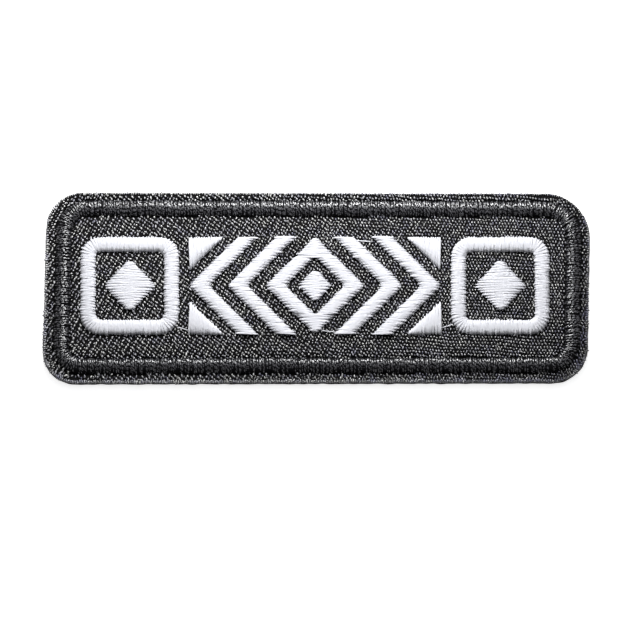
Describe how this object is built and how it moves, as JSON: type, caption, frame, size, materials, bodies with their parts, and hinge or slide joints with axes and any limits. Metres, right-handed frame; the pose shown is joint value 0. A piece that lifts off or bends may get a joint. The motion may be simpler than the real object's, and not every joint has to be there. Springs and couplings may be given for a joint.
{
  "type": "embroidered patch",
  "caption": "Rounded rectangular cloth patch with a raised black satin border and a band of white satin-stitched squares, chevrons and a lozenge on black twill.",
  "frame": {"origin": "middle of the flat underside", "axes": "+X along the patch to the right, +Y up its face, +Z out of the embroidered face"},
  "size_m": [0.0907, 0.0322, 0.0023],
  "materials": {
    "backing_film": "thin heat-seal film with a dull sheen",
    "black_twill": "heavy polyester twill with bright yarn crowns",
    "black_thread": "glossy polyester embroidery thread in satin stitch",
    "white_thread": "glossy polyester embroidery thread in satin stitch"
  },
  "bodies": {
    "root": {"backing": "backing_film", "twill_ground": "black_twill", "satin_border": "black_thread", "lozenge": "white_thread", "lozenge_diamond": "white_thread", "square_left": "white_thread", "square_right": "white_thread", "square_diamond_left": "white_thread", "square_diamond_right": "white_thread", "chevron_left_1": "white_thread", "chevron_left_2": "white_thread", "chevron_right_1": "white_thread", "chevron_right_2": "white_thread", "wedge_left_top": "white_thread", "wedge_left_bottom": "white_thread", "wedge_right_top": "white_thread", "wedge_right_bottom": "white_thread"}
  },
  "joints": []
}
